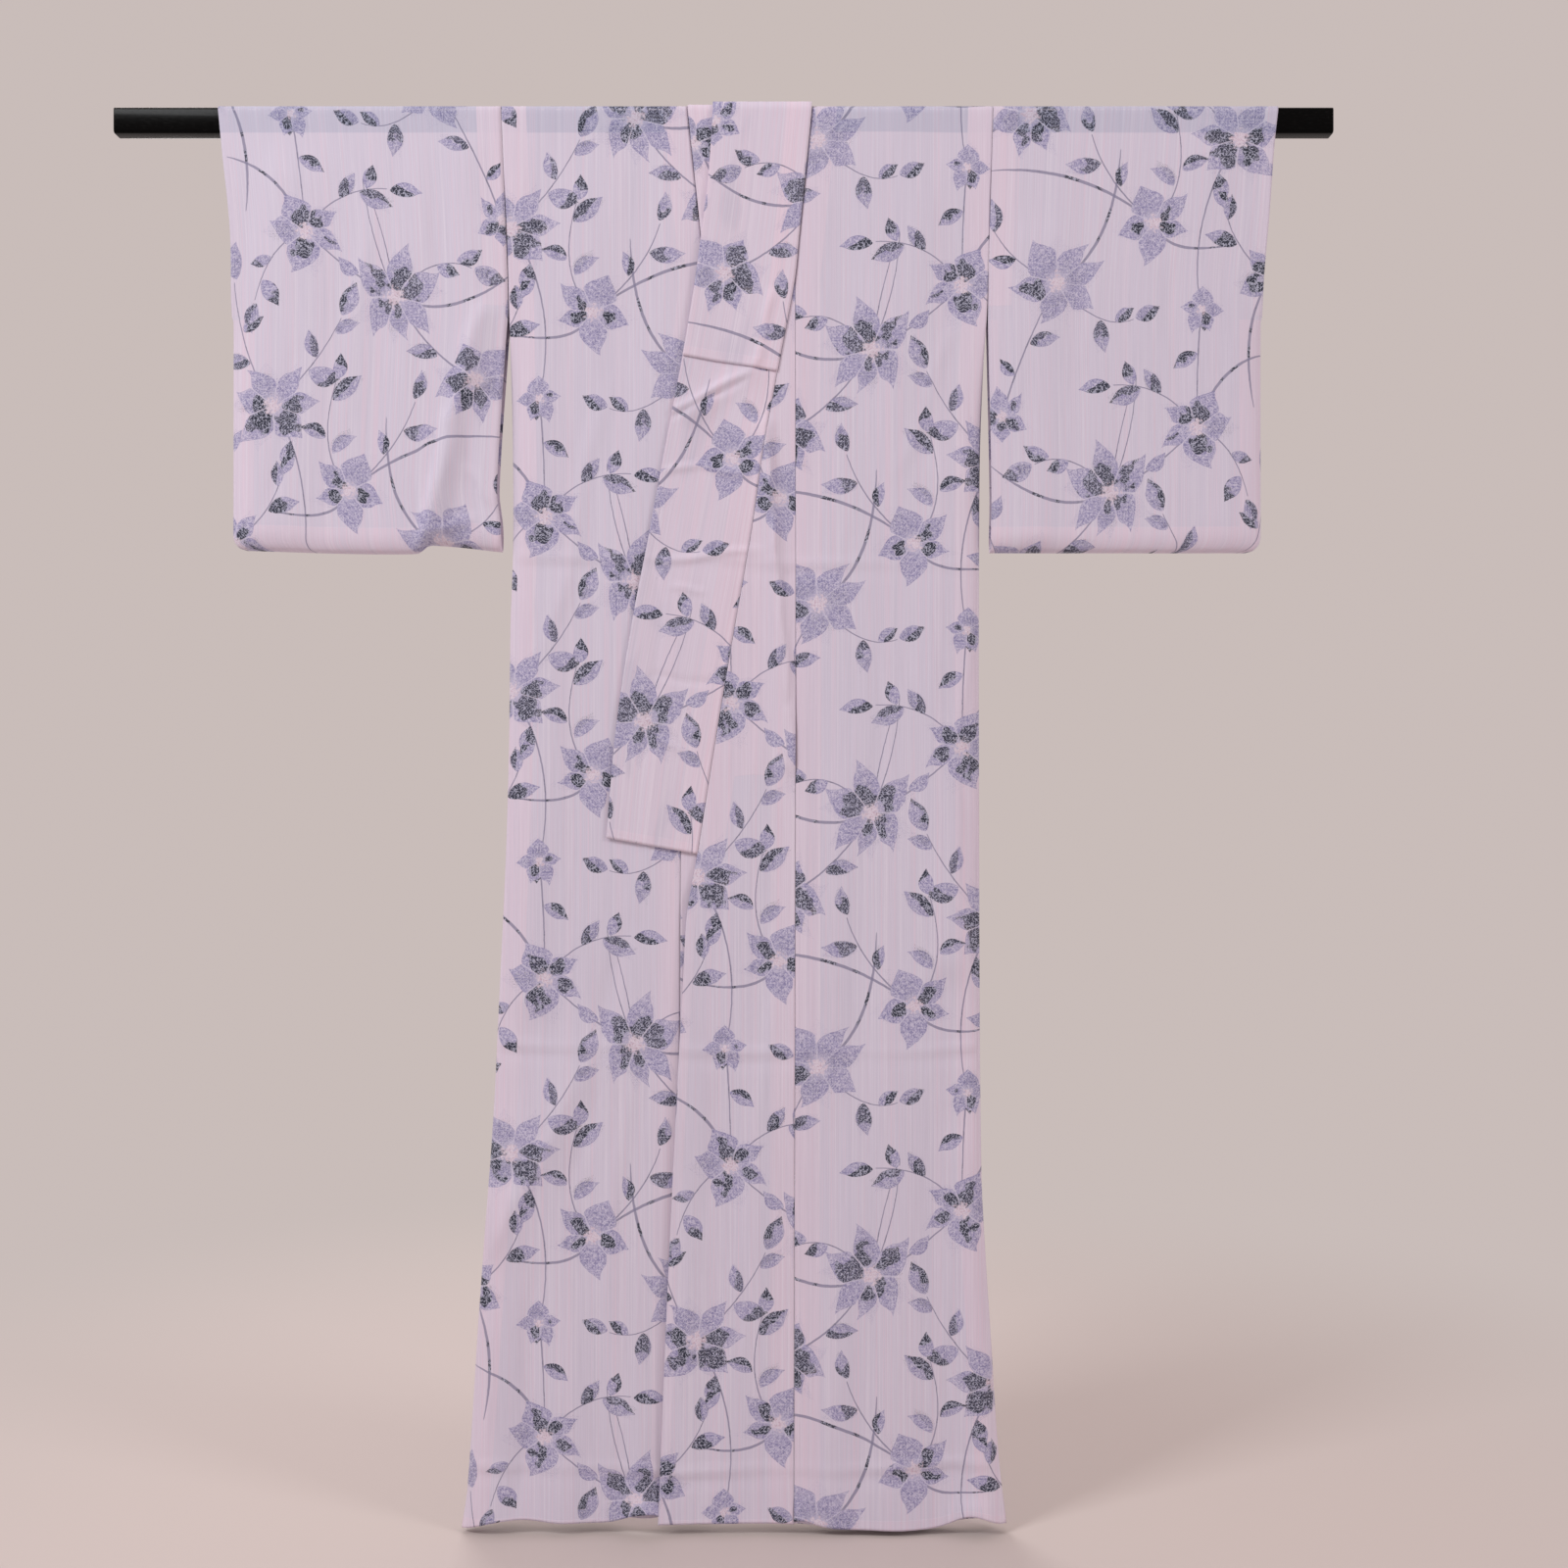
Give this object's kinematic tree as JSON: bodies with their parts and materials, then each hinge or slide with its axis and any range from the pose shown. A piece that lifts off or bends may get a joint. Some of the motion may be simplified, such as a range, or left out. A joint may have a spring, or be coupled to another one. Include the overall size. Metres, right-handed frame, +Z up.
{
  "type": "summer kimono on a hanging rod",
  "caption": "Unlined summer kimono with straight sleeves, wide collar and overlapping fronts, hung by its shoulders over a black lacquered rod.",
  "frame": {"origin": "on the rod's axis, above the middle of the body, where the rod is held", "axes": "+Z up, -Y towards the front of the garment, +X along the rod towards the wearer's left"},
  "size_m": [1.372, 0.0368, 1.6068],
  "materials": {
    "cloth": "thin pale pink-lavender summer weave with fine warp streaks and a printed flower and vine pattern",
    "lacquer": "black gloss lacquer"
  },
  "bodies": {
    "root": {"front_left": "cloth", "back_left": "cloth", "front_right": "cloth", "back_right": "cloth", "okumi_left": "cloth", "okumi_right": "cloth", "sleeve_left": "cloth", "sleeve_right": "cloth", "collar_left": "cloth", "neck_left": "cloth", "collar_right": "cloth", "neck_right": "cloth", "over_collar_left": "cloth", "over_neck_left": "cloth", "over_collar_right": "cloth", "over_neck_right": "cloth", "rod": "lacquer"}
  },
  "joints": []
}
